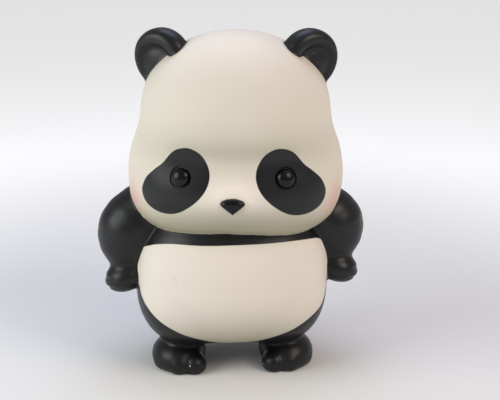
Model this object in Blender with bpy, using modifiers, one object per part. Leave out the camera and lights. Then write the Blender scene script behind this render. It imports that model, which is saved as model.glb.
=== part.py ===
"""A standing panda figurine: one painted casting, two domed eyes and a nose pad.

Metres, +Z up. The panda faces -Y and stands on z = 0, so +X is on the right of
someone who looks at its face. The names left and right are theirs too.
"""
import math

import bmesh
import bpy
from mathutils import Matrix, Vector

# The figure's height. Its pose and its modelling are shares of this one size.
HEIGHT = 0.450

# The eyes and the nose are pieces of their own, set into seats in the face.
EYE_DIAMETER = 0.0280
EYE_STANDS_OUT = 0.0080
NOSE_WIDTH = 0.0300
NOSE_ABOVE = 0.0072
NOSE_BELOW = 0.0128
NOSE_STANDS_OUT = 0.0065
NOSE_TAPER = 0.80
NOSE_TAPER_POWER = 1.1
SEAT_DEPTH = 0.0030
SEAT_GAP = 0.0003

# Where the eyes and the nose sit, as shares of the height.
EYE_ACROSS = 0.143
EYE_UP = 0.622
NOSE_UP = 0.5555

# Head, measured from its centre.
HEAD_UP = 0.680
HEAD_SIDE = 0.295
HEAD_FRONT = 0.255
HEAD_BACK = 0.270
HEAD_ABOVE = 0.310
HEAD_BELOW = 0.264
HEAD_SQUARENESS = 0.35
CROWN_FULLNESS = 2.15

# The head looks a little to its right, and sits a little to the side.
HEAD_TURN = 6
HEAD_ASIDE = 0.012

# Cheeks that swell below the eyes, and the shallow waist above them (degrees of latitude).
CHEEK_LATITUDE = -40
CHEEK_SPREAD = 27.5
CHEEK_SIDE = 0.070
CHEEK_FRONT = 0.045
CHEEK_BACK = 0.020
WAIST_LATITUDE = 12
WAIST_SPREAD = 14
WAIST_DEPTH = 0.016

# In front the face dips at the eyes and comes forward again under the nose.
DIP_LATITUDE = -6
DIP_SPREAD = 13
DIP_DEPTH = 0.017
MUZZLE_LATITUDE = -28
MUZZLE_SPREAD = 12
MUZZLE_FRONT = 0.006

# The face sinks a little around each eye.
HOLLOW_ACROSS = 0.150
HOLLOW_UP = 0.665
HOLLOW_WIDE = 0.070
HOLLOW_HIGH = 0.045
HOLLOW_DEPTH = 0.006

# Ears: thick round buns that look forward and outward, each with a cup sunk in its
# front and a disc in the cup. The cup sits outward and down from the bun's centre.
EAR_ACROSS = 0.206
EAR_BACK = -0.020
EAR_UP = 0.911
EAR_RADIUS = 0.089
EAR_HALF_THICKNESS = 0.048
EAR_FULLNESS = 2.6
EAR_YAW = 28
EAR_LEAN = 3
CUP_OUT = 0.010
CUP_DOWN = 0.013
CUP_RADIUS = 0.060
CUP_FLOOR = 0.004
CUP_HALF_DEPTH = 0.040
RIM_EASE = 0.030
DISC_RADIUS = 0.046
DISC_UP = 0.004
DISC_HALF_THICKNESS = 0.016

# Torso: a barrel with a round belly.
TORSO_UP = 0.270
TORSO_SIDE = 0.285
TORSO_FRONT = 0.225
TORSO_BACK = 0.215
TORSO_ABOVE = 0.240
TORSO_BELOW = 0.197
TORSO_FULLNESS = 2.6
TORSO_SQUARENESS = 0.30

# Tail: a low round button on the back.
TAIL_RADIUS = 0.052
TAIL_UP = 0.150
TAIL_BACK = 0.188

# Upper arm: an egg whose outer end is tilted down.
UPPER_ARM_CENTRE = (0.275, 0.014, 0.4275)
UPPER_ARM_RADII = (0.126, 0.100, 0.100)
UPPER_ARM_TILT = 44

# Forearm, from inside the upper arm to the wrist: across, back, up and radius.
FOREARM_STATIONS = (
    (0.294, 0.010, 0.409, 0.085),
    (0.307, 0.000, 0.364, 0.078),
    (0.295, -0.012, 0.324, 0.041),
    (0.300, -0.022, 0.284, 0.039),
)
PAW_CENTRE = (0.317, -0.028, 0.273)
PAW_RADII = (0.062, 0.060, 0.045)
PAW_TILT = 18

# The hand on the right is held a little higher: the lift grows from the shoulder down.
ARM_LIFT = 0.014
LIFT_FROM = 0.560
LIFT_OVER = 0.180

# Hips, legs and feet.
HIP_CENTRE = (0.150, 0.008, 0.170)
HIP_RADII = (0.110, 0.165, 0.110)
LEG_ACROSS = 0.148
LEG_FORWARD = 0.025
LEG_RADIUS = 0.066
LEG_TOP = 0.200
LEG_FOOT = 0.030
FOOT_CENTRE = (0.163, -0.048, 0.030)
FOOT_RADII = (0.080, 0.098, 0.060)
TOES = (
    (0.118, -0.115, 0.036),
    (0.163, -0.115, 0.034),
    (0.203, -0.076, 0.034),
)
TOE_STRETCH = 1.15
TOE_UP = 0.022

# How finely the round forms are divided: segments round, rings from pole to pole.
# A limb's is steps between stations and extra corners round it, a dome's is
# segments round and steps up.
HEAD_GRID = (48, 30)
TORSO_GRID = (38, 20)
EAR_GRID = (24, 24)
UPPER_ARM_GRID = (22, 13)
PAW_GRID = (18, 12)
FOOT_GRID = (20, 11)
TOE_GRID = (14, 10)
TAIL_GRID = (16, 10)
LIMB_GRID = (4, 8)
DOME_GRID = (24, 6)

# How the face's skin is found and its slope measured, in shares of the height.
AIM_ROUNDS = 24
SKIN_STEP = 0.004

# Points closer than this, in metres, are one point.
WELD = 0.00001

# Paint, as it is seen on the real figure.
CREAM = (0.780, 0.700, 0.590, 1.0)
BLACK = (0.022, 0.022, 0.024, 1.0)
GLOSS_BLACK = (0.010, 0.010, 0.011, 1.0)
CREAM_SLOT = 0
BLACK_SLOT = 1

# Outlines of the painted patches, as shares of the height.
PATCH_CENTRE = (0.158, 0.617)
PATCH_LONG = 0.118
PATCH_SHORT = 0.076
PATCH_TURN = 42
BELLY_CENTRE_UP = 0.245
BELLY_HALF_WIDTH = 0.275
BELLY_HALF_HEIGHT = 0.172
BELLY_FULLNESS = 3


def clear_scene():
    """Remove what a new file starts with."""
    for item in list(bpy.data.objects):
        bpy.data.objects.remove(item, do_unlink=True)


def new_collection(name):
    """A collection of that name in the scene."""
    collection = bpy.data.collections.new(name)
    bpy.context.scene.collection.children.link(collection)
    return collection


def paint(name, colour, roughness, coat):
    """A painted resin finish."""
    material = bpy.data.materials.new(name)
    material.use_nodes = True
    shader = material.node_tree.nodes["Principled BSDF"]
    shader.inputs["Base Color"].default_value = colour
    shader.inputs["Roughness"].default_value = roughness
    shader.inputs["Metallic"].default_value = 0.0
    shader.inputs["Coat Weight"].default_value = coat
    return material


def bump(value, centre, spread):
    """A smooth swelling that is 1 at its centre."""
    return math.exp(-((value - centre) / spread) ** 2)


def oval(latitude, across, up, power=2.0):
    """Distance from the centre to an oval's edge, at a latitude in radians."""
    flat = abs(math.cos(latitude) / across) ** power
    tall = abs(math.sin(latitude) / up) ** power
    return (flat + tall) ** (-1.0 / power)


def round_plan(direction, side, front, back, squareness):
    """Mix the side, front and back radii by the compass direction."""
    level = math.hypot(direction.x, direction.y)
    if level < WELD:
        return side
    power = 2.0 + squareness * level ** 2
    depth = front if direction.y < 0 else back
    wide = abs(direction.x / level / side) ** power
    deep = abs(direction.y / level / depth) ** power
    return (wide + deep) ** (-1.0 / power)


def head_point(direction):
    """A point of the head's skin, in shares of the height."""
    latitude = math.asin(max(-1.0, min(1.0, direction.z)))
    degrees = math.degrees(latitude)
    tall = HEAD_ABOVE if latitude > 0 else HEAD_BELOW
    cheek = bump(degrees, CHEEK_LATITUDE, CHEEK_SPREAD)
    waist = bump(degrees, WAIST_LATITUDE, WAIST_SPREAD) * WAIST_DEPTH
    full = CROWN_FULLNESS if latitude > 0 else 2.0
    side = oval(latitude, HEAD_SIDE, tall, full) + cheek * CHEEK_SIDE - waist
    front = oval(latitude, HEAD_FRONT, tall, full) + cheek * CHEEK_FRONT
    front += bump(degrees, MUZZLE_LATITUDE, MUZZLE_SPREAD) * MUZZLE_FRONT
    front -= bump(degrees, DIP_LATITUDE, DIP_SPREAD) * DIP_DEPTH
    back = oval(latitude, HEAD_BACK, tall, full) + cheek * CHEEK_BACK
    reach = round_plan(direction, side, front, back, HEAD_SQUARENESS)
    point = direction * reach + Vector((0.0, 0.0, HEAD_UP))
    if direction.y < 0:
        hollow = bump(abs(point.x), HOLLOW_ACROSS, HOLLOW_WIDE)
        hollow *= bump(point.z, HOLLOW_UP, HOLLOW_HIGH) * -direction.y
        point -= direction * (HOLLOW_DEPTH * hollow)
    return point


def torso_point(direction):
    """A point of the torso's skin, in shares of the height."""
    latitude = math.asin(max(-1.0, min(1.0, direction.z)))
    tall = TORSO_ABOVE if latitude > 0 else TORSO_BELOW
    side = oval(latitude, TORSO_SIDE, tall, TORSO_FULLNESS)
    front = oval(latitude, TORSO_FRONT, tall, TORSO_FULLNESS)
    back = oval(latitude, TORSO_BACK, tall, TORSO_FULLNESS)
    reach = round_plan(direction, side, front, back, TORSO_SQUARENESS)
    return direction * reach + Vector((0.0, 0.0, TORSO_UP))


def dome(share):
    """How high a bun's top is over its middle plane, at a share of its radius."""
    return max(0.0, 1.0 - share ** EAR_FULLNESS) ** (1.0 / EAR_FULLNESS)


def ear_point(direction, side):
    """A point of an ear that looks along +Z, with the cup and the disc in its front."""
    latitude = math.asin(max(-1.0, min(1.0, direction.z)))
    point = direction * oval(latitude, EAR_RADIUS, EAR_HALF_THICKNESS, EAR_FULLNESS)
    if direction.z > 0:
        off = math.hypot(point.x, point.y)
        middle = 1.0 - (off / EAR_RADIUS) ** 2
        point.x += CUP_OUT * side * middle
        point.y -= CUP_DOWN * middle
        if off < CUP_RADIUS + RIM_EASE:
            cup = CUP_FLOOR + CUP_HALF_DEPTH * (1.0 - dome(min(1.0, off / CUP_RADIUS)))
            cup += max(0.0, off - CUP_RADIUS)
            eased = max(0.0, RIM_EASE - abs(point.z - cup)) ** 2 / (4 * RIM_EASE)
            point.z = min(point.z, cup) - eased
        if off < DISC_RADIUS:
            point.z = max(point.z, DISC_UP + DISC_HALF_THICKNESS * dome(off / DISC_RADIUS))
    return point


def ball(grid, shape, place=Matrix.Identity(4)):
    """A sphere whose points are moved by a shape function, scaled to the real height."""
    segments, rings = grid
    form = bmesh.new()
    bmesh.ops.create_uvsphere(form, u_segments=segments, v_segments=rings, radius=1.0)
    for vert in form.verts:
        vert.co = place @ shape(vert.co.normalized())
    form.transform(Matrix.Scale(HEIGHT, 4))
    mesh = bpy.data.meshes.new("ball")
    form.to_mesh(mesh)
    form.free()
    return mesh


def egg(grid, centre, radii, side=1, tilt=0.0):
    """An egg shape whose outer end is tilted down, mirrored to the left where side is -1."""
    place = Matrix.Translation(Vector((centre[0] * side, centre[1], centre[2])))
    place @= Matrix.Rotation(math.radians(tilt) * side, 4, "Y")
    return ball(grid, lambda direction: Vector(a * b for a, b in zip(direction, radii)), place)


def evaluated_mesh(source):
    """The object's mesh with its modifiers, in world space. The object is removed."""
    bpy.context.view_layer.update()
    seen = source.evaluated_get(bpy.context.evaluated_depsgraph_get())
    mesh = bpy.data.meshes.new_from_object(seen)
    mesh.transform(source.matrix_world)
    bpy.data.objects.remove(source, do_unlink=True)
    return mesh


def weld(mesh):
    """Join points that lie on each other, and turn the faces outward."""
    form = bmesh.new()
    form.from_mesh(mesh)
    bmesh.ops.remove_doubles(form, verts=form.verts, dist=WELD)
    bmesh.ops.recalc_face_normals(form, faces=form.faces)
    form.to_mesh(mesh)
    form.free()
    return mesh


def limb(stations):
    """A smooth tube through stations of across, back, up and radius."""
    curve = bpy.data.curves.new("limb", "CURVE")
    curve.dimensions = "3D"
    curve.resolution_u = LIMB_GRID[0]
    curve.bevel_depth = HEIGHT
    curve.bevel_resolution = LIMB_GRID[1]
    curve.use_fill_caps = True
    spline = curve.splines.new("BEZIER")
    spline.bezier_points.add(len(stations) - 1)
    for knot, (across, back, up, radius) in zip(spline.bezier_points, stations):
        knot.co = Vector((across, back, up)) * HEIGHT
        knot.radius = radius
        knot.handle_left_type = "AUTO"
        knot.handle_right_type = "AUTO"
    source = bpy.data.objects.new("limb", curve)
    bpy.context.scene.collection.objects.link(source)
    return weld(evaluated_mesh(source))


def turned(profile, steps):
    """A solid turned about Z from a profile of radius and height."""
    mesh = bpy.data.meshes.new("turned")
    points = [(radius, 0.0, up) for radius, up in profile]
    mesh.from_pydata(points, [(i, i + 1) for i in range(len(points) - 1)], [])
    source = bpy.data.objects.new("turned", mesh)
    bpy.context.scene.collection.objects.link(source)
    screw = source.modifiers.new("turn", "SCREW")
    screw.steps = steps
    screw.render_steps = steps
    screw.merge_threshold = WELD
    screw.use_merge_vertices = True
    return weld(evaluated_mesh(source))


def add_part(name, mesh, collection, materials, place=Matrix.Identity(4), is_cream=None):
    """A named object for a finished mesh, painted by a test on each face's centre."""
    part = bpy.data.objects.new(name, mesh)
    part.matrix_world = place
    collection.objects.link(part)
    for material in materials:
        mesh.materials.append(material)
    if len(materials) > 1:
        for face in mesh.polygons:
            cream = is_cream is not None and is_cream(face.center / HEIGHT)
            face.material_index = CREAM_SLOT if cream else BLACK_SLOT
    mesh.shade_smooth()
    return part


def in_patch(centre):
    """Whether a point of the head, in shares of the height, is on an eye patch."""
    centre = head_place(1.0).inverted() @ centre
    if centre.y > 0:
        return False
    across = abs(centre.x) - PATCH_CENTRE[0]
    up = centre.z - PATCH_CENTRE[1]
    turn = math.radians(PATCH_TURN)
    along = across * math.cos(turn) - up * math.sin(turn)
    beside = across * math.sin(turn) + up * math.cos(turn)
    return (along / PATCH_LONG) ** 2 + (beside / PATCH_SHORT) ** 2 < 1.0


def in_belly(centre):
    """Whether a point of the torso, in shares of the height, is on the belly patch."""
    if centre.y > 0:
        return False
    across = abs(centre.x) / BELLY_HALF_WIDTH
    up = abs(centre.z - BELLY_CENTRE_UP) / BELLY_HALF_HEIGHT
    return across ** BELLY_FULLNESS + up ** BELLY_FULLNESS < 1.0


def head_place(scale):
    """How the head sits on the body, with lengths in shares times the scale."""
    turn = Matrix.Rotation(-math.radians(HEAD_TURN), 4, "Z")
    return Matrix.Translation((HEAD_ASIDE * scale, 0.0, 0.0)) @ turn


def ear_place(side):
    """Where an ear sits and which way its cup looks."""
    yaw = math.radians(EAR_YAW) * side
    lean = math.radians(90 + EAR_LEAN)
    turn = Matrix.Rotation(yaw, 4, "Z") @ Matrix.Rotation(lean, 4, "X")
    centre = Vector((EAR_ACROSS * side, EAR_BACK, EAR_UP))
    return head_place(1.0) @ Matrix.Translation(centre) @ turn


def lifted(up, side):
    """The height of an arm's place, raised where the arm is the one on the right."""
    share = max(0.0, min(1.0, (LIFT_FROM - up) / LIFT_OVER))
    return up + (ARM_LIFT * share ** 2 * (3 - 2 * share) if side > 0 else 0.0)


def arm_forms(side):
    """The meshes of one forearm, upper arm and paw."""
    forms = [limb([
        (across * side, back, lifted(up, side), radius) for across, back, up, radius in FOREARM_STATIONS
    ])]
    for grid, (across, back, up), radii, tilt in (
        (UPPER_ARM_GRID, UPPER_ARM_CENTRE, UPPER_ARM_RADII, UPPER_ARM_TILT),
        (PAW_GRID, PAW_CENTRE, PAW_RADII, PAW_TILT),
    ):
        forms.append(egg(grid, (across, back, lifted(up, side)), radii, side, tilt))
    return forms


def foot_forms(side):
    """The meshes of one hip, leg and foot with its toes."""
    leg = limb([
        (LEG_ACROSS * side, -LEG_FORWARD, LEG_TOP, LEG_RADIUS),
        (LEG_ACROSS * side, -LEG_FORWARD, (LEG_TOP + LEG_FOOT) / 2, LEG_RADIUS),
        (LEG_ACROSS * side, -LEG_FORWARD, LEG_FOOT, LEG_RADIUS),
    ])
    hip = egg(FOOT_GRID, HIP_CENTRE, HIP_RADII, side)
    foot = egg(FOOT_GRID, FOOT_CENTRE, FOOT_RADII, side)
    toes = [
        egg(TOE_GRID, (across, forward, TOE_UP), (radius, radius * TOE_STRETCH, radius), side)
        for across, forward, radius in TOES
    ]
    return [leg, hip, foot] + toes


def find_skin(across, up):
    """Aim from the head's centre until the skin is met at that place across and up."""
    aim = Vector((across, -HEAD_FRONT, up - HEAD_UP))
    for _ in range(AIM_ROUNDS):
        point = head_point(aim.normalized())
        aim.x += across - point.x
        aim.z += up - point.z
    return point


def skin_at(across, up):
    """A point of the face at a place across and up, and the way the skin looks there."""
    point = find_skin(across, up)
    beside = find_skin(across + SKIN_STEP, up) - find_skin(across - SKIN_STEP, up)
    above = find_skin(across, up + SKIN_STEP) - find_skin(across, up - SKIN_STEP)
    return point * HEIGHT, beside.cross(above).normalized()


def look_out(point, normal):
    """A placement whose +Z leaves the skin and whose +Y points up the face."""
    up = Vector((0.0, 0.0, 1.0))
    across = up.cross(normal).normalized()
    upward = normal.cross(across)
    turn = Matrix((across, upward, normal)).transposed().to_4x4()
    return Matrix.Translation(point) @ turn


def dome_profile(radius, floor, height):
    """A round dome on a straight wall, from the crown down to the floor."""
    steps = DOME_GRID[1]
    profile = [(0.0, height)]
    for i in range(1, steps + 1):
        angle = math.radians(90) * (1 - i / steps)
        profile.append((radius * math.cos(angle), height * math.sin(angle)))
    return profile + [(radius, floor), (0.0, floor)]


def seat_cutter(radius, depth, reach):
    """A round cutter from a seat's floor to well above the skin."""
    form = bmesh.new()
    bmesh.ops.create_cone(
        form, cap_ends=True, segments=DOME_GRID[0], radius1=radius, radius2=radius, depth=depth + reach
    )
    bmesh.ops.translate(form, verts=form.verts, vec=(0.0, 0.0, (reach - depth) / 2))
    mesh = bpy.data.meshes.new("seat")
    form.to_mesh(mesh)
    form.free()
    return mesh


def press_to_nose(mesh, grow):
    """Press a round plan of radius 1 into the nose's rounded triangle, point down."""
    for vert in mesh.vertices:
        below = max(0.0, -vert.co.y)
        vert.co.x *= (NOSE_WIDTH / 2 + grow) * (1.0 - NOSE_TAPER * below ** NOSE_TAPER_POWER)
        vert.co.y *= (NOSE_BELOW if vert.co.y < 0 else NOSE_ABOVE) + grow
    return mesh


def boolean(target, tool, operation):
    """Join or cut with the exact solver."""
    step = target.modifiers.new(operation.lower() + "_" + tool.name, "BOOLEAN")
    step.operation = operation
    step.solver = "EXACT"
    step.object = tool


def as_tool(part):
    """Mark an object that only joins or cuts another."""
    part.hide_render = True
    part.display_type = "WIRE"
    return part


def floor_cutter():
    """A block under the ground that cuts the soles flat."""
    form = bmesh.new()
    bmesh.ops.create_cube(form, size=HEIGHT)
    bmesh.ops.translate(form, verts=form.verts, vec=(0.0, 0.0, -HEIGHT / 2))
    mesh = bpy.data.meshes.new("floor")
    form.to_mesh(mesh)
    form.free()
    return mesh


def build():
    clear_scene()
    parts = new_collection("panda_figurine")
    tools = new_collection("panda_tools")
    cream = paint("cream_paint", CREAM, 0.45, 0.1)
    black = paint("black_paint", BLACK, 0.42, 0.1)
    gloss = paint("gloss_black", GLOSS_BLACK, 0.10, 0.6)
    both = (cream, black)

    head = ball(HEAD_GRID, head_point, head_place(1.0))
    figure = add_part("figure", head, parts, both, is_cream=lambda centre: not in_patch(centre))
    torso = add_part("torso", ball(TORSO_GRID, torso_point), tools, both, is_cream=in_belly)
    boolean(figure, as_tool(torso), "UNION")

    forms = [("tail", egg(TAIL_GRID, (0.0, TAIL_BACK, TAIL_UP), (TAIL_RADIUS,) * 3))]
    for side, word in ((-1, "left"), (1, "right")):
        ear = ball(EAR_GRID, lambda direction: ear_point(direction, side), ear_place(side))
        forms.append(("ear_" + word, ear))
        for number, mesh in enumerate(arm_forms(side)):
            forms.append((f"arm_{word}_{number}", mesh))
        for number, mesh in enumerate(foot_forms(side)):
            forms.append((f"foot_{word}_{number}", mesh))
    for name, mesh in forms:
        boolean(figure, as_tool(add_part(name, mesh, tools, both)), "UNION")
    boolean(figure, as_tool(add_part("floor", floor_cutter(), tools, both)), "DIFFERENCE")

    floor = SEAT_GAP - SEAT_DEPTH
    for side, word in ((-1, "left"), (1, "right")):
        place = head_place(HEIGHT) @ look_out(*skin_at(EYE_ACROSS * side, EYE_UP))
        profile = dome_profile(EYE_DIAMETER / 2, floor, EYE_STANDS_OUT)
        add_part("eye_" + word, turned(profile, DOME_GRID[0]), parts, (gloss,), place)
        seat = seat_cutter(EYE_DIAMETER / 2 + SEAT_GAP, SEAT_DEPTH, EYE_DIAMETER)
        seat = add_part("eye_seat_" + word, seat, tools, both, place)
        boolean(figure, as_tool(seat), "DIFFERENCE")

    place = head_place(HEIGHT) @ look_out(*skin_at(0.0, NOSE_UP))
    nose = turned(dome_profile(1.0, floor, NOSE_STANDS_OUT), DOME_GRID[0])
    add_part("nose", press_to_nose(nose, 0.0), parts, (gloss,), place)
    seat = press_to_nose(seat_cutter(1.0, SEAT_DEPTH, NOSE_WIDTH), SEAT_GAP)
    boolean(figure, as_tool(add_part("nose_seat", seat, tools, both, place)), "DIFFERENCE")


build()
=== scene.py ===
# %% [markdown]
# # A panda cast in resin, and its paint
#
# The real figurine is one hollow casting of polyester resin with glass fibre. It was
# sprayed with satin cream paint, and the black was sprayed over it with masks. The
# domed eyes and the nose are glossy pieces of their own, glued into shallow seats.
# This lesson dresses the plain construction solids in that finish, one piece a step.

# %% Load the construction solids
import math

import bmesh
import bpy
import numpy as np
from mathutils import Matrix, Vector


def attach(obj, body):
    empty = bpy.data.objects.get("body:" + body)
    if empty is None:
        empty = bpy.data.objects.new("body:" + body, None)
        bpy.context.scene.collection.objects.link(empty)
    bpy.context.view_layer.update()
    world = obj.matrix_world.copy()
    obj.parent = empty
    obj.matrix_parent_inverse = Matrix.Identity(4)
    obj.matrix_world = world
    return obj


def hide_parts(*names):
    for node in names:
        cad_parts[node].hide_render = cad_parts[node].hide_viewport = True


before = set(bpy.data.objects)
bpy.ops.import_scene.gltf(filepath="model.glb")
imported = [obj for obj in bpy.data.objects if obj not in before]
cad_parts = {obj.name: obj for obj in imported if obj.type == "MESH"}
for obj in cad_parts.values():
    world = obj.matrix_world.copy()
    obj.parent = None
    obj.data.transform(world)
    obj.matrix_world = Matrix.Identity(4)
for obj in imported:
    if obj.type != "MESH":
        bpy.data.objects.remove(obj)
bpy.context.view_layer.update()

print("construction nodes:", sorted(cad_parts))

# %% [markdown]
# ## The studio
#
# The photograph looks down on the panda from a little to the left, with a long lens.
# The same framing could be had by standing nearer with a wider lens, but then the head
# would swell in front of the body, and the feet would shrink.

# %% Sizes that the whole lesson shares
HEIGHT = 0.450
MM = 0.001
PHOTO_WIDTH = 500
FOCAL_PIXELS = 1060
SENSOR_WIDTH = 36.0
AXIS_PIXEL = 231.5

# %% The camera
CAMERA_DISTANCE = 3.0 * HEIGHT
CAMERA_UP = 1.38 * HEIGHT
CAMERA_AZIMUTH = math.radians(-4.0)
CAMERA_PITCH = math.radians(16.5)

lens = bpy.data.cameras.new("camera")
lens.sensor_width = SENSOR_WIDTH
lens.lens = SENSOR_WIDTH * FOCAL_PIXELS / PHOTO_WIDTH
lens.shift_x = (PHOTO_WIDTH / 2 - AXIS_PIXEL) / PHOTO_WIDTH
camera = bpy.data.objects.new("camera", lens)
camera.location = (
    CAMERA_DISTANCE * math.sin(CAMERA_AZIMUTH),
    -CAMERA_DISTANCE * math.cos(CAMERA_AZIMUTH),
    CAMERA_UP,
)
camera.rotation_euler = (math.radians(90) - CAMERA_PITCH, 0.0, CAMERA_AZIMUTH)
bpy.context.scene.collection.objects.link(camera)
bpy.context.scene.camera = camera
bpy.context.scene.view_settings.view_transform = "Standard"
print(f"lens {lens.lens:.1f} mm, shift {lens.shift_x:.3f}")


# %% Colours from sRGB hex, and one helper for shader nodes
def colour(code):
    """Turn an sRGB hex code into linear red, green, blue and alpha."""
    channels = [int(code[i:i + 2], 16) / 255 for i in (1, 3, 5)]
    linear = [c / 12.92 if c <= 0.04045 else ((c + 0.055) / 1.055) ** 2.4 for c in channels]
    return (*linear, 1.0)


def add(tree, kind, settings=None, inputs=None):
    """Add a node, choose its settings, and fill or link its inputs."""
    node = tree.nodes.new(kind)
    for name, value in (settings or {}).items():
        setattr(node, name, value)
    for name, value in (inputs or {}).items():
        if isinstance(value, bpy.types.NodeSocket):
            tree.links.new(value, node.inputs[name])
        else:
            node.inputs[name].default_value = value
    return node


# %% [markdown]
# ## The floor
#
# Small figures are often photographed on a pale paper sweep. It could be modelled with
# its curve, but a view from behind would then meet the paper's back, so this is one
# plain disc. Its far part glows softly, like a light table. More lamps would make it as
# pale, but they would also wash out the panda.

# %% A plain pale disc
FLOOR_RADIUS = 8.0
FLOOR_SIDES = 96

floor_form = bmesh.new()
bmesh.ops.create_circle(floor_form, cap_ends=True, segments=FLOOR_SIDES, radius=FLOOR_RADIUS)
floor_mesh = bpy.data.meshes.new("floor")
floor_form.to_mesh(floor_mesh)
floor_form.free()
floor = bpy.data.objects.new("floor", floor_mesh)
bpy.context.scene.collection.objects.link(floor)
print(f"floor: {2 * FLOOR_RADIUS:.0f} m across")

# %% The floor's paint, and its glow far from the panda
GLOW_STARTS = 0.35
GLOW_FULL = 1.30
GLOW = 0.46

floor_paint = bpy.data.materials.new("pale_studio_floor")
floor_paint.use_nodes = True
floor_tree = floor_paint.node_tree
floor_shader = floor_tree.nodes["Principled BSDF"]
floor_shader.inputs["Base Color"].default_value = colour("#F2F2F0")
floor_shader.inputs["Roughness"].default_value = 0.9
floor_place = add(floor_tree, "ShaderNodeTexCoord")
from_middle = add(floor_tree, "ShaderNodeVectorMath", {"operation": "LENGTH"}, {
    0: floor_place.outputs["Object"],
})
glow = add(floor_tree, "ShaderNodeMapRange", {"interpolation_type": "SMOOTHSTEP"}, {
    "Value": from_middle.outputs["Value"], "From Min": GLOW_STARTS, "From Max": GLOW_FULL,
    "To Max": GLOW,
})
floor_tree.links.new(glow.outputs["Result"], floor_shader.inputs["Emission Color"])
floor_shader.inputs["Emission Strength"].default_value = 1.0
floor_mesh.materials.append(floor_paint)
print(f"the glow grows from {GLOW_STARTS} m to {GLOW_FULL} m from the middle")

# %% [markdown]
# ## The light
#
# The cream paint is brightest and cool on the crown, pale at the left and warmer at the
# right, and the front has no glare. So the light is a window at each side and a skylight
# a little behind, not a lamp beside the camera. They could be sharp spots, but the soft
# glints on the black paint call for wide discs. The sky fills the shadows.

# %% A neutral window at the left, a warm one at the right, and a cool skylight
SKY_STRENGTH = 0.34
LIGHTS = {
    # name: (place, width, watts, colour), in metres
    "window_left": ((-1.40, -0.50, 0.90), 1.20, 14.0, "#F6FAF8"),
    "window_right": ((1.10, -0.90, 1.40), 1.00, 12.5, "#FFEDDF"),
    "skylight": ((0.05, 0.40, 1.60), 1.00, 7.0, "#CFDAFF"),
}
LIT_POINT = Vector((0.0, 0.0, 0.5 * HEIGHT))

sky = bpy.data.worlds.new("sky")
sky.use_nodes = True
sky.node_tree.nodes["Background"].inputs["Color"].default_value = colour("#FBFBFF")
sky.node_tree.nodes["Background"].inputs["Strength"].default_value = SKY_STRENGTH
bpy.context.scene.world = sky

for name, (place, width, watts, tint) in LIGHTS.items():
    lamp = bpy.data.lights.new(name, "AREA")
    lamp.shape = "DISK"
    lamp.size = width
    lamp.energy = watts
    lamp.color = colour(tint)[:3]
    holder = bpy.data.objects.new(name, lamp)
    holder.location = place
    holder.rotation_euler = (LIT_POINT - holder.location).to_track_quat("-Z", "Y").to_euler()
    bpy.context.scene.collection.objects.link(holder)
print("lights:", ", ".join(LIGHTS))

# %% [markdown]
# ## The casting, as formulas
#
# The sculptor's model was round forms pressed together and smoothed where they meet.
# It could be rebuilt by sculpting, or by joining many balls with Booleans. Here each
# form is a formula that says how far a point is outside its skin. Formulas can be
# melted together with a fillet of any width, and they stay perfectly smooth, which
# satin paint needs, because its highlights show every dent. The sizes repeat those of
# the construction, as shares of the figure's height. Only the chin is 2 mm higher here,
# to leave room for the black band under it.

# %% Sizes of the head
TINY = 1e-9
HEAD_UP = 0.680
HEAD_SIDE = 0.295
HEAD_FRONT = 0.255
HEAD_BACK = 0.270
HEAD_ABOVE = 0.310
HEAD_BELOW = 0.259
HEAD_SQUARENESS = 0.35
CROWN_FULLNESS = 2.15
HEAD_TURN = math.radians(6)
HEAD_ASIDE = 0.012
CHEEK_LATITUDE = -40
CHEEK_SPREAD = 27.5
CHEEK_SIDE = 0.070
CHEEK_FRONT = 0.045
CHEEK_BACK = 0.020
WAIST_LATITUDE = 12
WAIST_SPREAD = 14
WAIST_DEPTH = 0.016
MUZZLE_LATITUDE = -28
MUZZLE_SPREAD = 12
MUZZLE_FRONT = 0.006
DIP_LATITUDE = -6
DIP_SPREAD = 13
DIP_DEPTH = 0.017
HOLLOW_ACROSS = 0.150
HOLLOW_UP = 0.665
HOLLOW_WIDE = 0.070
HOLLOW_HIGH = 0.045
HOLLOW_DEPTH = 0.006


# %% Curves that the head and the torso are made of
def bump(value, centre, spread):
    """A smooth swelling that is 1 at its centre."""
    return np.exp(-((value - centre) / spread) ** 2)


def oval(latitude, across, up, power=2.0):
    """How far an oval's edge is from its centre, at a latitude in radians."""
    flat = np.abs(np.cos(latitude) / across) ** power
    tall = np.abs(np.sin(latitude) / up) ** power
    return (flat + tall) ** (-1.0 / power)


def round_plan(direction, side, front, back, squareness):
    """Mix the side, front and back radii by the compass direction."""
    level = np.maximum(np.hypot(direction[:, 0], direction[:, 1]), TINY)
    power = 2.0 + squareness * level ** 2
    depth = np.where(direction[:, 1] < 0, front, back)
    wide = np.abs(direction[:, 0] / level / side) ** power
    deep = np.abs(direction[:, 1] / level / depth) ** power
    return (wide + deep) ** (-1.0 / power)


def aim_from(points, centre):
    """Each point's distance and direction from a centre, and its latitude."""
    away = points - np.array(centre)
    far = np.maximum(np.linalg.norm(away, axis=1), TINY)
    direction = away / far[:, None]
    return far, direction, np.arcsin(np.clip(direction[:, 2], -1.0, 1.0))


# %% The head's skin
def turned_about_z(points, angle):
    """Points turned about the upright axis."""
    cosine, sine = math.cos(angle), math.sin(angle)
    return points @ np.array([[cosine, sine, 0.0], [-sine, cosine, 0.0], [0.0, 0.0, 1.0]])


def in_head(points):
    """Points of the body seen from the head, which is turned and set a little aside."""
    return turned_about_z(points - np.array([HEAD_ASIDE, 0.0, 0.0]), HEAD_TURN)


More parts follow.
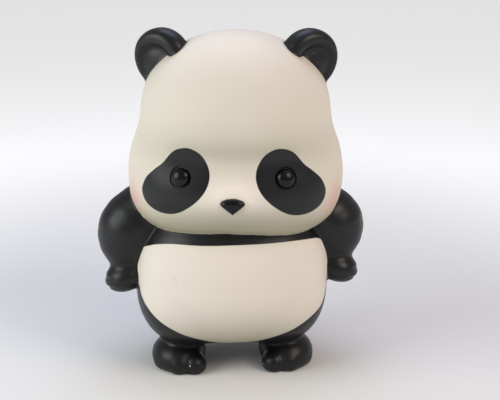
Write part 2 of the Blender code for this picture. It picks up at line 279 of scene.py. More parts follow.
def head_gap(points):
    """How far points of the head's own frame are outside its skin."""
    far, direction, latitude = aim_from(points, (0.0, 0.0, HEAD_UP))
    degrees = np.degrees(latitude)
    tall = np.where(latitude > 0, HEAD_ABOVE, HEAD_BELOW)
    cheek = bump(degrees, CHEEK_LATITUDE, CHEEK_SPREAD)
    waist = bump(degrees, WAIST_LATITUDE, WAIST_SPREAD) * WAIST_DEPTH
    full = np.where(latitude > 0, CROWN_FULLNESS, 2.0)
    side = oval(latitude, HEAD_SIDE, tall, full) + cheek * CHEEK_SIDE - waist
    front = oval(latitude, HEAD_FRONT, tall, full) + cheek * CHEEK_FRONT
    front += bump(degrees, MUZZLE_LATITUDE, MUZZLE_SPREAD) * MUZZLE_FRONT
    front -= bump(degrees, DIP_LATITUDE, DIP_SPREAD) * DIP_DEPTH
    back = oval(latitude, HEAD_BACK, tall, full) + cheek * CHEEK_BACK
    reach = round_plan(direction, side, front, back, HEAD_SQUARENESS)
    hollow = bump(np.abs(direction[:, 0] * reach), HOLLOW_ACROSS, HOLLOW_WIDE)
    hollow *= bump(direction[:, 2] * reach + HEAD_UP, HOLLOW_UP, HOLLOW_HIGH)
    hollow *= np.maximum(-direction[:, 1], 0.0)
    return far - reach + HOLLOW_DEPTH * hollow


# %% The torso's skin
TORSO_UP = 0.270
TORSO_SIDE = 0.285
TORSO_FRONT = 0.225
TORSO_BACK = 0.215
TORSO_ABOVE = 0.240
TORSO_BELOW = 0.197
TORSO_FULLNESS = 2.6
TORSO_SQUARENESS = 0.30


def torso_gap(points):
    """How far points are outside the torso."""
    far, direction, latitude = aim_from(points, (0.0, 0.0, TORSO_UP))
    tall = np.where(latitude > 0, TORSO_ABOVE, TORSO_BELOW)
    radii = [oval(latitude, size, tall, TORSO_FULLNESS) for size in (TORSO_SIDE, TORSO_FRONT, TORSO_BACK)]
    return far - round_plan(direction, *radii, TORSO_SQUARENESS)


# %% Egg shapes and limbs
def egg_gap(points, centre, radii):
    """Nearly how far points are outside an egg."""
    scaled = (points - np.array(centre)) / np.array(radii)
    near = np.linalg.norm(scaled, axis=1)
    slope = np.maximum(np.linalg.norm(scaled / np.array(radii), axis=1), TINY)
    return near * (near - 1.0) / slope


def limb_gap(points, stations):
    """How far points are outside a tube through stations of place and radius."""
    gaps = np.full(len(points), np.inf)
    for start, end in zip(stations[:-1], stations[1:]):
        axis = end[:3] - start[:3]
        along = np.clip((points - start[:3]) @ axis / (axis @ axis), 0.0, 1.0)
        centre = start[:3] + along[:, None] * axis
        radius = start[3] + along * (end[3] - start[3])
        gaps = np.minimum(gaps, np.linalg.norm(points - centre, axis=1) - radius)
    return gaps


def smooth_run(knots, steps, closed=False):
    """A smooth run of points that passes through every knot."""
    knots = np.array(knots, dtype=float)
    if closed:
        knots = np.concatenate([knots[-1:], knots, knots[:2]])
    else:
        knots = np.concatenate([2 * knots[:1] - knots[1:2], knots, 2 * knots[-1:] - knots[-2:-1]])
    run = []
    for before, start, end, after in zip(knots[:-3], knots[1:-2], knots[2:-1], knots[3:]):
        for share in np.arange(steps) / steps:
            leave, arrive = (end - before) / 2, (after - start) / 2
            square, cube = share ** 2, share ** 3
            run.append(
                (2 * cube - 3 * square + 1) * start + (cube - 2 * square + share) * leave
                + (3 * square - 2 * cube) * end + (cube - square) * arrive
            )
    return np.array(run if closed else run + [knots[-2]])


# %% [markdown]
# ## Ears, arms, legs and tail
#
# An ear is a flat round bun with a cup pressed into its front and a raised disc in the
# cup. An arm is a run of balls with a tilted egg for the hand, and shallow grooves part
# its fingers. A leg is a short post in an egg-shaped foot, with three balls for toes.
# Each could be a mesh of its own, joined later, but as formulas they need no joints.
# Both halves are alike, so only the right half is described, and the left is folded on.

# %% Sizes of the ears, arms, legs and tail
EAR_ACROSS = 0.206
EAR_BACK = -0.020
EAR_UP = 0.911
EAR_RADIUS = 0.089
EAR_HALF_THICKNESS = 0.048
EAR_FULLNESS = 2.6
EAR_YAW = 28
EAR_LEAN = 3
CUP_OUT = 0.010
CUP_DOWN = 0.013
CUP_RADIUS = 0.060
CUP_FLOOR = 0.004
CUP_HALF_DEPTH = 0.040
DISC_RADIUS = 0.046
DISC_UP = 0.004
DISC_HALF_THICKNESS = 0.016

ARM_KNOTS = (
    # across, back, up, radius
    (0.256, 0.018, 0.446, 0.097),
    (0.294, 0.010, 0.409, 0.100),
    (0.307, 0.000, 0.364, 0.078),
    (0.295, -0.012, 0.324, 0.041),
    (0.300, -0.022, 0.284, 0.039),
)
ARM_STEPS = 3
ARM_RUN = smooth_run(ARM_KNOTS, ARM_STEPS)
ARM_LIFT = 0.014
LIFT_FROM = 0.560
LIFT_OVER = 0.180
PAW_CENTRE = (0.317, -0.028, 0.273)
PAW_RADII = (0.062, 0.060, 0.045)
PAW_TILT = math.radians(18)
GROOVES_UP = (0.262, 0.289)
GROOVES_FROM = 0.335
GROOVES_OVER = 0.030
GROOVE_HALF_WIDTH = 0.0050
GROOVE_DEPTH = 0.0036

HIP_CENTRE = (0.150, 0.008, 0.170)
HIP_RADII = (0.110, 0.165, 0.110)
LEG_ACROSS = 0.148
LEG_FORWARD = 0.025
LEG_RADIUS = 0.066
LEG_TOP = 0.200
LEG_FOOT = 0.030
FOOT_CENTRE = (0.163, -0.048, 0.030)
FOOT_RADII = (0.080, 0.098, 0.060)
TOES = ((0.118, -0.115, 0.036), (0.163, -0.115, 0.034), (0.203, -0.076, 0.034))
TOE_STRETCH = 1.15
TOE_UP = 0.022
TAIL_RADIUS = 0.052
TAIL_UP = 0.150
TAIL_BACK = 0.188

# %% Where the right ear sits and which way it looks
EAR_PLACE = (
    Matrix.Translation((EAR_ACROSS, EAR_BACK, EAR_UP))
    @ Matrix.Rotation(math.radians(EAR_YAW), 4, "Z")
    @ Matrix.Rotation(math.radians(90 + EAR_LEAN), 4, "X")
)


def mirrored(points):
    """Points folded over to the right half, because both halves are modelled alike."""
    return np.column_stack([np.abs(points[:, 0]), points[:, 1], points[:, 2]])


def in_ear(points):
    """Points of the head seen from the nearer ear, whose cup looks along +Z."""
    back = np.array(EAR_PLACE.inverted())
    return mirrored(points) @ back[:3, :3].T + back[:3, 3]


# %% Melt the forms together
FILLETS = {
    # how wide the fillet is where two forms meet, in metres
    "ear": 4 * MM, "rim": 16 * MM, "disc": 3 * MM, "neck": 3 * MM, "hip": 26 * MM,
    "shoulder": 5 * MM, "wrist": 10 * MM, "leg": 8 * MM, "foot": 4 * MM, "toe": 3 * MM,
    "tail": 10 * MM, "sole": 3 * MM,
}


def melt(one, other, fillet):
    """The union of two forms, with a fillet where they meet."""
    width = FILLETS[fillet] / HEIGHT
    overlap = np.maximum(width - np.abs(one - other), 0.0) / width
    return np.minimum(one, other) - overlap ** 2 * width / 4


def bun_gap(points, radius, half_thickness, fullness):
    """Nearly how far points are outside a round bun that lies flat, full at its edge."""
    across = np.maximum(np.hypot(points[:, 0], points[:, 1]), TINY) / radius
    up = np.maximum(np.abs(points[:, 2]), TINY) / half_thickness
    near = (across ** fullness + up ** fullness) ** (1.0 / fullness)
    slope = np.hypot((across / near) ** (fullness - 1) / radius, (up / near) ** (fullness - 1) / half_thickness)
    return (near - 1.0) / slope


def ear_gap(points):
    """How far points of the head's frame are outside the nearer ear."""
    local = in_ear(points)
    bun = bun_gap(local, EAR_RADIUS, EAR_HALF_THICKNESS, EAR_FULLNESS)
    in_cup = local - np.array([CUP_OUT, -CUP_DOWN, CUP_FLOOR + CUP_HALF_DEPTH])
    cup = bun_gap(in_cup, CUP_RADIUS, CUP_HALF_DEPTH, EAR_FULLNESS)
    shell = -melt(-bun, cup, "rim")
    on_disc = local - np.array([CUP_OUT, -CUP_DOWN, DISC_UP])
    disc = bun_gap(on_disc, DISC_RADIUS, DISC_HALF_THICKNESS, EAR_FULLNESS)
    return melt(shell, disc, "disc")


def lifted(points):
    """Points seen from the arms, because the hand on the right is held a little higher."""
    share = np.clip((LIFT_FROM - points[:, 2]) / LIFT_OVER, 0.0, 1.0)
    lift = np.where(points[:, 0] > 0, share ** 2 * (3 - 2 * share) * ARM_LIFT, 0.0)
    return mirrored(points - lift[:, None] * np.array([0.0, 0.0, 1.0]))


def tilted(points, centre, angle):
    """Points turned about a centre as seen from the front, so that the outer side sinks."""
    cosine, sine = math.cos(angle), math.sin(angle)
    turn = np.array([[cosine, 0.0, sine], [0.0, 1.0, 0.0], [-sine, 0.0, cosine]])
    return (points - np.array(centre)) @ turn + np.array(centre)


def arm_gap(points):
    """The nearer arm and its paw."""
    local = lifted(points)
    in_paw = tilted(local, PAW_CENTRE, PAW_TILT)
    arm = melt(limb_gap(local, ARM_RUN), egg_gap(in_paw, PAW_CENTRE, PAW_RADII), "wrist")
    outside = np.clip((in_paw[:, 0] - GROOVES_FROM) / GROOVES_OVER, 0.0, 1.0)
    grooves = sum(bump(in_paw[:, 2], up, GROOVE_HALF_WIDTH) for up in GROOVES_UP)
    return arm + grooves * outside * GROOVE_DEPTH


def leg_gap(points):
    """The nearer leg, which is a short upright post."""
    middle = (LEG_TOP + LEG_FOOT) / 2
    round_off = np.hypot(points[:, 0] - LEG_ACROSS, points[:, 1] + LEG_FORWARD) - LEG_RADIUS
    return np.maximum(round_off, np.abs(points[:, 2] - middle) - (LEG_TOP - LEG_FOOT) / 2)


def foot_gap(points):
    """The nearer foot with its toes."""
    foot = egg_gap(points, FOOT_CENTRE, FOOT_RADII)
    for across, forward, radius in TOES:
        toe = egg_gap(points, (across, forward, TOE_UP), (radius, radius * TOE_STRETCH, radius))
        foot = melt(foot, toe, "toe")
    return foot


def body_gap(points):
    """Everything below the neck."""
    folded = mirrored(points)
    body = melt(torso_gap(folded), egg_gap(folded, HIP_CENTRE, HIP_RADII), "hip")
    body = melt(body, melt(leg_gap(folded), foot_gap(folded), "foot"), "leg")
    body = melt(body, egg_gap(folded, (0.0, TAIL_BACK, TAIL_UP), (TAIL_RADIUS,) * 3), "tail")
    return melt(body, arm_gap(points), "shoulder")


def figure_gap(points):
    """The whole casting, cut flat under its soles."""
    local = in_head(points)
    above = melt(head_gap(local), ear_gap(local), "ear")
    whole = melt(above, body_gap(points), "neck")
    return -melt(-whole, points[:, 2], "sole")


# %% [markdown]
# ## The casting, as a mesh
#
# The formulas need a mesh to show them. It could be marched out of a grid of samples,
# but the construction solid is already close, so a copy of it is remeshed into small
# even squares, and each point slides down its formula until it lies on the skin. In
# between, the points are spread evenly, as a sculptor's smooth brush would do.

# %% Remesh a copy of the construction solid
SQUARE = 2.5 * MM
ROUNDS = 6
EASE = 0.6
PROBE = 0.2 * MM / HEIGHT
LEAST_STEEP = 0.1

casting_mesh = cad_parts["figure"].data.copy()
casting = bpy.data.objects.new("painted_casting", casting_mesh)
bpy.context.scene.collection.objects.link(casting)
remesh = casting.modifiers.new("squares", "REMESH")
remesh.mode = "VOXEL"
remesh.voxel_size = SQUARE


def baked(piece):
    """Replace a piece's mesh by what its modifiers make of it."""
    seen = piece.evaluated_get(bpy.context.evaluated_depsgraph_get())
    mesh = bpy.data.meshes.new_from_object(seen)
    piece.modifiers.clear()
    piece.data = mesh
    return mesh


casting_mesh = baked(casting)
print("squares:", len(casting_mesh.polygons))


# %% Let every point settle on the skin
def slope_of(gap, points, here):
    """Which way a formula grows, measured by small steps along each axis."""
    steps = np.eye(3) * PROBE
    return np.stack([(gap(points + step) - here) / PROBE for step in steps], axis=1)


def spread_evenly(points, edges, ease):
    """Move each point towards the middle of its neighbours."""
    count = np.bincount(edges.ravel(), minlength=len(points))
    middle = np.empty_like(points)
    for axis in range(3):
        total = np.bincount(edges[:, 0], points[edges[:, 1], axis], len(points))
        total += np.bincount(edges[:, 1], points[edges[:, 0], axis], len(points))
        middle[:, axis] = total / np.maximum(count, 1)
    return points + (middle - points) * ease


def mesh_points(mesh):
    """A mesh's points as shares of the height."""
    flat = np.empty(len(mesh.vertices) * 3)
    mesh.vertices.foreach_get("co", flat)
    return flat.reshape(-1, 3) / HEIGHT


def mesh_edges(mesh):
    """A mesh's edges as pairs of point numbers."""
    flat = np.empty(len(mesh.edges) * 2, dtype=np.int64)
    mesh.edges.foreach_get("vertices", flat)
    return flat.reshape(-1, 2)


points, edges = mesh_points(casting_mesh), mesh_edges(casting_mesh)
for round_number in range(ROUNDS):
    if round_number < ROUNDS - 2:
        points = spread_evenly(points, edges, EASE)
    here = figure_gap(points)
    slope = slope_of(figure_gap, points, here)
    steep = np.maximum((slope ** 2).sum(axis=1), LEAST_STEEP)
    points -= slope * (here / steep)[:, None]
    print(f"round {round_number}: points are off by {np.abs(here).max() * HEIGHT / MM:.3f} mm at most")
casting_mesh.vertices.foreach_set("co", (points * HEIGHT).ravel())
casting_mesh.update()


# %% [markdown]
# ## Seats for the eyes and the nose
#
# The glossy pieces are glued into shallow seats, so a dark line shows round each one.
# The seats could be painted rings, but light catches a real edge. Each seat is cut with
# an upright prism of the piece's own plan, a hair wider, square to the skin under it.

# %% Sizes of the seats, and where they are
EYE_DIAMETER = 0.0280
NOSE_WIDTH = 0.0300
NOSE_ABOVE = 0.0072
NOSE_BELOW = 0.0128
NOSE_TAPER = 0.80
NOSE_TAPER_POWER = 1.1
SEAT_DEPTH = 0.0030
SEAT_GAP = 0.0003
EYE_ACROSS = 0.143
EYE_UP = 0.622
NOSE_UP = 0.5555
SEAT_SIDES = 96
SEAT_REACH = 0.020
AIM_ROUNDS = 24
SKIN_STEP = 0.004
SHARP_ANGLE = math.radians(50)


def find_skin(across, up):
    """The face's skin at a place across and up, found by sliding along the view."""
    point = np.array([[across, -HEAD_FRONT, up]])
    for _ in range(AIM_ROUNDS):
        point[:, 1] += head_gap(point)
    return Vector(point[0])


def look_out(across, up):
    """A placement on the face, in metres, whose +Z leaves the skin and +Y points up."""
    beside = find_skin(across + SKIN_STEP, up) - find_skin(across - SKIN_STEP, up)
    above = find_skin(across, up + SKIN_STEP) - find_skin(across, up - SKIN_STEP)
    normal = beside.cross(above).normalized()
    right = Vector((0.0, 0.0, 1.0)).cross(normal).normalized()
    turn = Matrix((right, normal.cross(right), normal)).transposed().to_4x4()
    on_head = Matrix.Translation(find_skin(across, up) * HEIGHT) @ turn
    aside = Matrix.Translation((HEAD_ASIDE * HEIGHT, 0.0, 0.0))
    return aside @ Matrix.Rotation(-HEAD_TURN, 4, "Z") @ on_head


def to_nose(x, y, grow=0.0):
    """Press a point of a round disc of radius 1 into the nose's rounded triangle."""
    taper = 1.0 - NOSE_TAPER * max(0.0, -y) ** NOSE_TAPER_POWER
    tall = NOSE_ABOVE if y > 0 else NOSE_BELOW
    return x * (NOSE_WIDTH / 2 + grow) * taper, y * (tall + grow)


def to_eye(x, y, grow=0.0):
    """Press a point of a round disc of radius 1 to the eye's size."""
    return x * (EYE_DIAMETER / 2 + grow), y * (EYE_DIAMETER / 2 + grow)


PLACES = {
    "eye_left": (look_out(-EYE_ACROSS, EYE_UP), to_eye),
    "eye_right": (look_out(EYE_ACROSS, EYE_UP), to_eye),
    "nose": (look_out(0.0, NOSE_UP), to_nose),
}
for name, (place, press) in PLACES.items():
    print(name, "sits at", [round(float(value), 4) for value in place.translation])

# %% Cut the seats
cutters = []
for name, (place, press) in PLACES.items():
    form = bmesh.new()
    bmesh.ops.create_cone(
        form, cap_ends=True, segments=SEAT_SIDES, radius1=1.0, radius2=1.0, depth=SEAT_DEPTH + SEAT_REACH
    )
    for vert in form.verts:
        x, y = press(vert.co.x, vert.co.y, SEAT_GAP)
        vert.co = place @ Vector((x, y, vert.co.z + (SEAT_REACH - SEAT_DEPTH) / 2))
    mesh = bpy.data.meshes.new("seat_" + name)
    form.to_mesh(mesh)
    form.free()
    cutter = bpy.data.objects.new("seat_" + name, mesh)
    bpy.context.scene.collection.objects.link(cutter)
    cutters.append(cutter)
    cut = casting.modifiers.new(cutter.name, "BOOLEAN")
    cut.operation = "DIFFERENCE"
    cut.solver = "MANIFOLD"
    cut.object = cutter
casting_mesh = baked(casting)
for cutter in cutters:
    bpy.data.objects.remove(cutter, do_unlink=True)
casting_mesh.shade_smooth()
casting_mesh.set_sharp_from_angle(angle=SHARP_ANGLE)
print("triangles:", sum(len(face.vertices) - 2 for face in casting_mesh.polygons))

# %% [markdown]
# ## Where the black paint ends
#
# Masks were cut for the eye patches and for the belly, and the ears and limbs were
# masked in the creases. A painted picture of the mask could be laid over the model,
# but a distance to the mask's edge, kept at every point, is sharper: the shader draws
# the edge itself, as soft as sprayed paint.

# %% The masks' outlines
PATCH_OUTLINE = (
    # across from the eye and up from it, in metres, once round the patch
    (-0.0050, 0.0367), (-0.0168, 0.0350), (-0.0275, 0.0272), (-0.0352, 0.0125), (-0.0358, -0.0020),
    (-0.0290, -0.0175), (-0.0145, -0.0330), (0.0060, -0.0462), (0.0270, -0.0480), (0.0440, -0.0395),
    (0.0505, -0.0240), (0.0450, -0.0070), (0.0330, 0.0060), (0.0225, 0.0150), (0.0090, 0.0310),
)
PATCH_STEPS = 6
BELLY_ROUND = 0.1125
BELLY_OUTLINE = (
    # angle round the torso in degrees, and height in metres, once round the patch
    (0, 0.1880), (27, 0.1880), (46, 0.1866), (61, 0.1830), (71, 0.1780), (76, 0.1660), (77.5, 0.1450),
    (77, 0.1180), (73, 0.1000), (66.7, 0.0878), (61.5, 0.0840), (52, 0.0758), (42.5, 0.0655),
    (31, 0.0548), (20, 0.0460), (0, 0.0380), (-20, 0.0470), (-36.9, 0.0602), (-46, 0.0695),
    (-55.8, 0.0802), (-62.7, 0.0897), (-69, 0.0995), (-74, 0.1120), (-77, 0.1300), (-76.5, 0.1520),
    (-73.5, 0.1690), (-66.5, 0.1762), (-59.6, 0.1810), (-47, 0.1856), (-29, 0.1868),
)
BELLY_STEPS = 4


def inside_by(places, outline):
    """How far flat places are inside a closed outline, and minus how far outside."""
    nearest = np.full(len(places), np.inf)
    crossings = np.zeros(len(places), dtype=int)
    for start, end in zip(outline, np.roll(outline, -1, axis=0)):
        side = end - start
        along = np.clip((places - start) @ side / max(side @ side, TINY * TINY), 0.0, 1.0)
        nearest = np.minimum(nearest, np.linalg.norm(places - start - along[:, None] * side, axis=1))
        spans = (start[1] <= places[:, 1]) != (end[1] <= places[:, 1])
        rise = side[1] if side[1] else TINY
        meets = start[0] + (places[:, 1] - start[1]) / rise * side[0]
        crossings += spans & (places[:, 0] < meets)
    return np.where(crossings % 2 == 1, nearest, -nearest)


def patch_inside(local):
    """How far points of the head are inside an eye patch, in metres."""
    across = (np.abs(local[:, 0]) - EYE_ACROSS) * HEIGHT
    up = (local[:, 2] - EYE_UP) * HEIGHT
    inside = inside_by(np.stack([across, up], axis=1), smooth_run(PATCH_OUTLINE, PATCH_STEPS, closed=True))
    return np.where(local[:, 1] < 0, inside, -HEIGHT)


def belly_inside(points):
    """How far points of the body are inside the belly patch, in metres."""
    knots = [(math.radians(angle) * BELLY_ROUND, up) for angle, up in BELLY_OUTLINE]
    outline = smooth_run(knots, BELLY_STEPS, closed=True)
    angle = np.arctan2(points[:, 0], -points[:, 1])
    return inside_by(np.stack([angle * BELLY_ROUND, points[:, 2] * HEIGHT], axis=1), outline)


# %% Keep the distance to the black paint's edge at every point
def keep(mesh, name, values):
    """Store one number for each point of a mesh."""
    attribute = mesh.attributes.new(name, "FLOAT", "POINT")
    attribute.data.foreach_set("value", values.astype(np.float32))


points = mesh_points(casting_mesh)
local = in_head(points)
gaps = {"head": head_gap(local), "ear": ear_gap(local), "body": body_gap(points)}
on_arm = (torso_gap(points) - arm_gap(points)) * HEIGHT
on_ear = (gaps["head"] - gaps["ear"]) * HEIGHT
on_body = (np.minimum(gaps["head"], gaps["ear"]) - gaps["body"]) * HEIGHT
black = np.maximum(on_ear, np.minimum(on_body, np.maximum(on_arm, -belly_inside(points))))
black = np.maximum(black, np.minimum(patch_inside(local), -on_body))
keep(casting_mesh, "black_mm", black / MM)
print(f"black paint on {np.mean(black > 0):.0%} of the points")

# %% [markdown]
# ## Blush, painted shade and light, and small marks
#
# The cheeks have a breath of pink. Painted shade makes the cream deeper over the brow
# and where the skin faces down under the chin and belly, and painted light keeps it
# cleanest down the bridge of the nose and on the crown. One photograph can't tell whether that
# is thinner spray, dust or only light, so it is laid in as a faint tone, because the forms
# alone show less of it. The creases are painted darker, as shade, a thin lighter line runs
# round each ankle, and the belly has one short scratch. Brushing them on a picture would need
# the mesh unwrapped, so each one is a number kept at every point.

# %% Blush on the cheeks
FAR_OFF = 40.0
BLUSH_ACROSS = 0.292
BLUSH_UP = 0.537
BLUSH_BACK = -0.125
BLUSH_SPREAD = 0.050

on_head = on_body < 0
cheek_away = np.abs(local) - np.array([BLUSH_ACROSS, -BLUSH_BACK, BLUSH_UP])
blush = np.exp(-(cheek_away ** 2).sum(axis=1) / BLUSH_SPREAD ** 2)
blush = np.where((local[:, 1] < 0) & on_head, blush, 0.0)
keep(casting_mesh, "blush", blush)
print(f"blush: {np.sum(blush > 0.5)} points are more than half pink")

# %% Painted shade in the creases
closest = np.sort(np.stack(list(gaps.values())), axis=0)
crease = (closest[1] - closest[0]) * HEIGHT / MM
keep(casting_mesh, "crease_mm", np.minimum(crease, FAR_OFF))
print(f"creases: {np.sum(crease < 1.0)} points are within 1 mm of one")

# %% The ankle line and the scratch
ANKLE_UP = 0.110
SCRATCH = ((-0.1795, 0.3310), (-0.1714, 0.3145), (-0.1670, 0.3000))

folded = mirrored(points)
trunk = np.minimum(torso_gap(folded), np.minimum(egg_gap(folded, HIP_CENTRE, HIP_RADII), leg_gap(folded)))
ankle = (trunk - foot_gap(folded)) * HEIGHT / MM
keep(casting_mesh, "ankle_mm", np.where(points[:, 2] < ANKLE_UP, ankle, FAR_OFF))

across, up = zip(*SCRATCH)
beside = (points[:, 0] - np.polyval(np.polyfit(up, across, 2), points[:, 2])) * HEIGHT / MM
touched = (points[:, 1] < 0) & (points[:, 2] < up[0]) & (points[:, 2] > up[-1])
keep(casting_mesh, "scratch_mm", np.where(touched, beside, FAR_OFF))
print(f"the scratch is {(up[0] - up[-1]) * HEIGHT / MM:.0f} mm tall")

# %% Painted shade and painted light in the cream
UNDER_FULL = 0.80
BROW_UP = 0.700
BROW_HIGH = 0.055
BRIDGE_UP = 0.583
BRIDGE_HIGH = 0.042
BRIDGE_WIDE = 0.085
CROWN_UP = 0.990
CROWN_HIGH = 0.070
FACE_SHADE = 0.36
BROW_SHADE = 0.24
PAINTED_BRIDGE_LIGHT = 0.45
PAINTED_CROWN_LIGHT = 0.25
BELLY_SHADE = 0.12
UNDER_CHIN_SHADE = 0.75
UNDER_BELLY_SHADE = 0.80

normals = np.empty(len(points) * 3)
casting_mesh.vertices.foreach_get("normal", normals)
normals = normals.reshape(-1, 3)
# Painted shade: the head's cream is a little deeper than the belly's, deeper still over the brow and where the
# skin faces down under the chin and belly. Painted light: cleaner down the bridge of the nose and on the crown.
under = np.clip(-normals[:, 2] / UNDER_FULL, 0.0, 1.0)
front = np.clip(-normals[:, 1], 0.0, 1.0)
painted_bridge_light = bump(local[:, 2], BRIDGE_UP, BRIDGE_HIGH) * bump(local[:, 0], 0.0, BRIDGE_WIDE)
face = FACE_SHADE + BROW_SHADE * front * bump(local[:, 2], BROW_UP, BROW_HIGH)
face -= PAINTED_BRIDGE_LIGHT * front * painted_bridge_light + PAINTED_CROWN_LIGHT * bump(local[:, 2], CROWN_UP, CROWN_HIGH)
painted_shade = np.where(on_head, face, BELLY_SHADE) + under * np.where(on_head, UNDER_CHIN_SHADE, UNDER_BELLY_SHADE)
painted_shade = np.clip(painted_shade, 0.0, 1.0)
keep(casting_mesh, "painted_shade", painted_shade)
print(f"shade: {painted_shade.mean():.2f} on average")

# %% [markdown]
# ## Satin-painted resin
#
# Sprayed satin acrylic over resin. The resin adds nothing that shows, but spraying
# leaves a faint orange peel, a ripple about 2 mm wide, which breaks up the highlights.
# Satin means a roughness near 0.4 on the black, and the thicker cream is duller, near
# 0.6. The specular level is a little under the usual 0.5, to match the photograph's dark
# blacks. The cream and the black could be two materials with an edge cut into the mesh,
# but one material that blends them has the soft edge of sprayed paint.

# %% Sizes of the paint's patterns
TONE_SIZE = 111 * MM
PEEL_SIZE = 2.0 * MM
PEEL_DEPTH = 0.012 * MM
MOTTLE_SIZE = 14.0 * MM
CHIP_GRAIN = 1.111 * MM
EDGE_MM = 0.35
CREASE_SHADE_MM = 5.0
ANKLE_LINE_MM = 0.6
SCRATCH_LINE_MM = 0.45

satin = bpy.data.materials.new("satin_painted_resin")
satin.use_nodes = True
tree = satin.node_tree
shader = tree.nodes["Principled BSDF"]
on_casting = add(tree, "ShaderNodeTexCoord").outputs["Object"]
tone = add(tree, "ShaderNodeTexNoise", {}, {"Vector": on_casting, "Scale": 1.0 / TONE_SIZE, "Detail": 2.0})
kept = {
    name: add(tree, "ShaderNodeAttribute", {"attribute_name": name}).outputs["Fac"]
    for name in ("black_mm", "blush", "crease_mm", "ankle_mm", "scratch_mm", "painted_shade")
}
print("numbers kept at every point:", ", ".join(kept))


# %% Thin lines and small chips
def line_of(distance, half_width, share):
    """How much of a thin line shows, from a signed distance to it in millimetres."""
    away = add(tree, "ShaderNodeMath", {"operation": "ABSOLUTE"}, {0: distance})
    return add(tree, "ShaderNodeMapRange", {"interpolation_type": "SMOOTHSTEP"}, {
        "Value": away.outputs[0], "From Min": half_width / 2, "From Max": half_width * 1.5,
        "To Min": share, "To Max": 0.0,
    }).outputs["Result"]


def chip_of(middle, radius):
    """Where a small ragged chip shows, round a place in metres."""
    ragged = add(tree, "ShaderNodeTexNoise", {}, {"Vector": on_casting, "Scale": 1.0 / CHIP_GRAIN})
    away = add(tree, "ShaderNodeVectorMath", {"operation": "DISTANCE"}, {0: on_casting, 1: middle})
    wide = add(tree, "ShaderNodeMath", {"operation": "MULTIPLY"}, {0: ragged.outputs["Fac"], 1: 2 * radius})
    return add(tree, "ShaderNodeMath", {"operation": "LESS_THAN"}, {
        0: away.outputs["Value"], 1: wide.outputs[0],
    }).outputs[0]


# %% Cream: a clean tone and a deeper one for painted shade, then painted shade in the creases, blush and the scratch over it
uneven = add(tree, "ShaderNodeMapRange", {}, {"Value": tone.outputs["Fac"], "To Min": -0.05, "To Max": 0.05})
painted_shade_share = add(tree, "ShaderNodeMath", {"operation": "ADD", "use_clamp": True}, {
    0: kept["painted_shade"], 1: uneven.outputs["Result"],
})
# Painted shade: the cream darkens towards each crease, over its last few millimetres.
crease_shade = add(tree, "ShaderNodeMapRange", {"interpolation_type": "SMOOTHSTEP"}, {
    "Value": kept["crease_mm"], "From Max": CREASE_SHADE_MM, "To Min": 0.55, "To Max": 0.0,
})
blush_share = add(tree, "ShaderNodeMath", {"operation": "MULTIPLY"}, {0: kept["blush"], 1: 0.58})
CREAM_LAYERS = (
    # how much of the layer shows, and its colour
    # the first layer is painted shade and light, the second is painted shade in the creases
    (painted_shade_share.outputs[0], "#ACA890"),
    (crease_shade.outputs["Result"], "#A39A84"),
    (blush_share.outputs[0], "#DDA298"),
    (line_of(kept["scratch_mm"], SCRATCH_LINE_MM, 0.40), "#C9A596"),
)

# %% Black: charcoal, then a thin lighter line round each ankle and two small chips over it
charcoal = add(tree, "ShaderNodeMix", {"data_type": "RGBA"}, {
    0: tone.outputs["Fac"], 6: colour("#111213"), 7: colour("#18191A"),
})
BLACK_LAYERS = (
    (line_of(kept["ankle_mm"], ANKLE_LINE_MM, 0.45), "#5C5E60"),
    (chip_of((-0.0594, -0.0680, 0.0140), 0.9 * MM), "#CFCEC6"),
    (chip_of((0.0387, -0.0603, 0.0104), 0.7 * MM), "#B8BCC0"),
)


# %% Lay the layers over each other, and end the cream where the black starts
def layered(ground, layers):
    """A colour, or a socket that gives one, with layers of other colours over it."""
    for share, code in layers:
        over = add(tree, "ShaderNodeMix", {"data_type": "RGBA"}, {0: share, 6: ground, 7: colour(code)})
        ground = over.outputs[2]
    return ground


edge = add(tree, "ShaderNodeMapRange", {"interpolation_type": "SMOOTHSTEP"}, {
    "Value": kept["black_mm"], "From Min": -EDGE_MM, "From Max": EDGE_MM,
})
paint_colour = add(tree, "ShaderNodeMix", {"data_type": "RGBA"}, {
    0: edge.outputs["Result"],
    6: layered(colour("#F4EBDE"), CREAM_LAYERS),
    7: layered(charcoal.outputs[2], BLACK_LAYERS),
})
tree.links.new(paint_colour.outputs[2], shader.inputs["Base Color"])
print("layers:", len(CREAM_LAYERS), "on the cream,", len(BLACK_LAYERS), "on the black")

# %% Gloss, which is a little uneven, and the ripple of orange peel
CREAM_ROUGHNESS = 0.60
BLACK_ROUGHNESS = 0.38
MOTTLE = 0.10

even_gloss = add(tree, "ShaderNodeMapRange", {}, {
    "Value": edge.outputs["Result"], "To Min": CREAM_ROUGHNESS, "To Max": BLACK_ROUGHNESS,
})
mottle = add(tree, "ShaderNodeTexNoise", {}, {
    "Vector": on_casting, "Scale": 1.0 / MOTTLE_SIZE, "Detail": 3.0,
})
mottled = add(tree, "ShaderNodeMapRange", {}, {
    "Value": mottle.outputs["Fac"], "To Min": -MOTTLE, "To Max": MOTTLE,
})
gloss_share = add(tree, "ShaderNodeMath", {"operation": "ADD"}, {
    0: even_gloss.outputs["Result"], 1: mottled.outputs["Result"],
})
tree.links.new(gloss_share.outputs[0], shader.inputs["Roughness"])
shader.inputs["Specular IOR Level"].default_value = 0.36

peel = add(tree, "ShaderNodeTexNoise", {}, {"Vector": on_casting, "Scale": 1.0 / PEEL_SIZE, "Detail": 1.0})
ripple = add(tree, "ShaderNodeBump", {}, {
    "Height": peel.outputs["Fac"], "Distance": PEEL_DEPTH, "Strength": 1.0,
})
tree.links.new(ripple.outputs["Normal"], shader.inputs["Normal"])

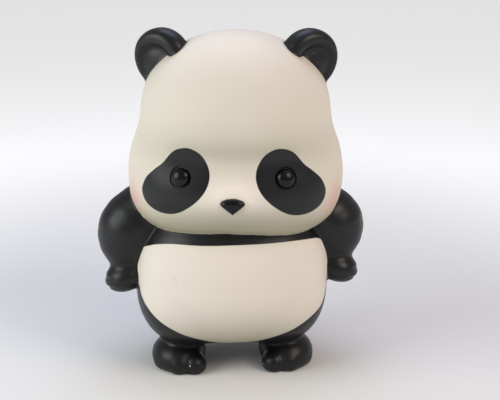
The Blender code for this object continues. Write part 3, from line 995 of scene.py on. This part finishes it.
# %% Paint the casting
casting_mesh.materials.clear()
casting_mesh.materials.append(satin)
for face in casting_mesh.polygons:
    face.material_index = 0
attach(casting, "root")
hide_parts("figure")
print(casting.name, "rides root and stands for figure")

# %% [markdown]
# ## Eyes and nose
#
# Both are small resin pieces dipped in gloss black enamel, so they reflect the lamps
# more sharply than the satin round them. The eye is a low dome in a narrow trench. It
# could be a ball, but a ball would stand out too far. The nose is a pad with rounded
# corners, point down. Each is turned like a button on a lathe, and pressed to its plan.

# %% Gloss enamel
gloss = bpy.data.materials.new("gloss_black_enamel")
gloss.use_nodes = True
gloss_shader = gloss.node_tree.nodes["Principled BSDF"]
gloss_shader.inputs["Base Color"].default_value = colour("#060606")
gloss_shader.inputs["Roughness"].default_value = 0.25
gloss_shader.inputs["Specular IOR Level"].default_value = 0.30
print("enamel roughness:", round(gloss_shader.inputs["Roughness"].default_value, 2))

# %% A turned button, pressed to its plan
BUTTON_SIDES = 72
EYE_STANDS_OUT = 0.0080
NOSE_STANDS_OUT = 0.0065
NOSE_BLUNTNESS = 0.8
SEAT_FLOOR = SEAT_GAP - SEAT_DEPTH
EYE_DOME = 0.83
EYE_TRENCH = -0.0022
TRENCH_SLOPE = 0.02
QUARTER = np.radians(np.linspace(0, 90, 15))
EYE_PROFILE = [
    (EYE_DOME * math.sin(angle), EYE_STANDS_OUT * math.cos(angle))
    for angle in QUARTER
] + [(EYE_DOME, EYE_TRENCH / 2), (EYE_DOME + TRENCH_SLOPE, EYE_TRENCH), (1.0, EYE_TRENCH)]
NOSE_PROFILE = [
    (math.sin(angle), NOSE_STANDS_OUT * math.cos(angle) ** NOSE_BLUNTNESS)
    for angle in QUARTER
]


def button(name, profile):
    """A piece turned from shares of radius and heights in metres, then pressed and placed."""
    place, press = PLACES[name]
    rings = [(radius, up) for radius, up in profile[1:]] + [(1.0, SEAT_FLOOR)]
    form = bmesh.new()
    crown = form.verts.new(place @ Vector((0.0, 0.0, profile[0][1])))
    loops = []
    for radius, up in rings:
        loop = []
        for i in range(BUTTON_SIDES):
            turn = 2 * math.pi * i / BUTTON_SIDES
            x, y = press(radius * math.cos(turn), radius * math.sin(turn))
            loop.append(form.verts.new(place @ Vector((x, y, up))))
        loops.append(loop)
    for i in range(BUTTON_SIDES):
        j = (i + 1) % BUTTON_SIDES
        form.faces.new((crown, loops[0][i], loops[0][j]))
        for upper, lower in zip(loops[:-1], loops[1:]):
            form.faces.new((upper[i], lower[i], lower[j], upper[j]))
    form.faces.new(loops[-1][::-1])
    mesh = bpy.data.meshes.new(name + "_gloss")
    form.to_mesh(mesh)
    form.free()
    mesh.shade_smooth()
    mesh.set_sharp_from_angle(angle=SHARP_ANGLE)
    mesh.materials.append(gloss)
    piece = bpy.data.objects.new(name + "_gloss", mesh)
    bpy.context.scene.collection.objects.link(piece)
    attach(piece, "root")
    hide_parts(name)
    return piece


for name in PLACES:
    piece = button(name, NOSE_PROFILE if name == "nose" else EYE_PROFILE)
    print(piece.name, "faces:", len(piece.data.polygons))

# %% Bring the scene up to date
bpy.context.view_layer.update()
